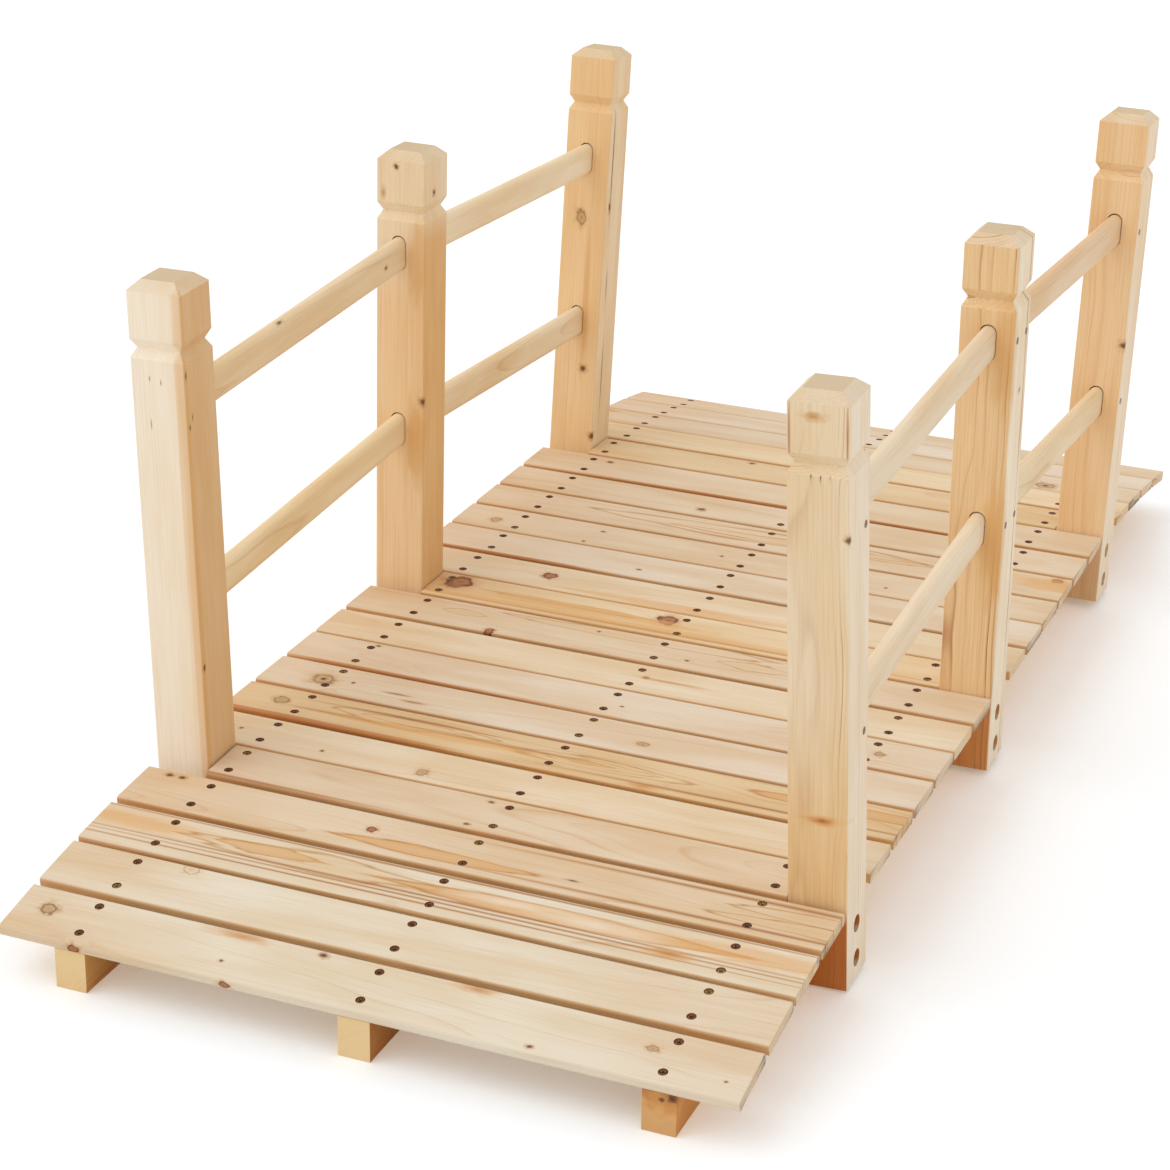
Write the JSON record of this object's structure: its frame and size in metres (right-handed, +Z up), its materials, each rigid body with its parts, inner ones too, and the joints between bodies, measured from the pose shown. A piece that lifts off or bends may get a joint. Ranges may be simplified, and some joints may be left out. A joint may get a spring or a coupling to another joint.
{
  "type": "wooden garden bridge",
  "caption": "Low wooden garden bridge with a cross-planked deck that falls away at both ends, on flat bearers, with capped posts and two rails on each side.",
  "frame": {"origin": "on the ground, under the middle of the deck", "axes": "+X along the bridge from its front end to its rear, +Y to its left, +Z up"},
  "size_m": [1.4787, 0.674, 0.5437],
  "materials": {
    "deck_board": "planed pale softwood, unfinished, with knots",
    "bearer": "planed pale softwood, unfinished",
    "post": "planed pale softwood, unfinished, straight grain",
    "rail": "planed pale softwood, unfinished, rounded edges"
  },
  "bodies": {
    "root": {"plank_01": "deck_board", "plank_02": "deck_board", "plank_03": "deck_board", "plank_04": "deck_board", "plank_05": "deck_board", "plank_06": "deck_board", "plank_07": "deck_board", "plank_08": "deck_board", "plank_09": "deck_board", "plank_10": "deck_board", "plank_11": "deck_board", "plank_12": "deck_board", "plank_13": "deck_board", "plank_14": "deck_board", "plank_15": "deck_board", "plank_16": "deck_board", "plank_17": "deck_board", "plank_18": "deck_board", "plank_19": "deck_board", "plank_20": "deck_board", "plank_21": "deck_board", "plank_22": "deck_board", "plank_23": "deck_board", "post_front_left": "post", "post_front_right": "post", "post_middle_left": "post", "post_middle_right": "post", "post_rear_left": "post", "post_rear_right": "post", "rail_front_lower_left": "rail", "rail_front_lower_right": "rail", "rail_front_upper_left": "rail", "rail_front_upper_right": "rail", "rail_rear_lower_left": "rail", "rail_rear_lower_right": "rail", "rail_rear_upper_left": "rail", "rail_rear_upper_right": "rail", "stringer_centre": "bearer", "stringer_left": "bearer", "stringer_right": "bearer"}
  },
  "joints": []
}
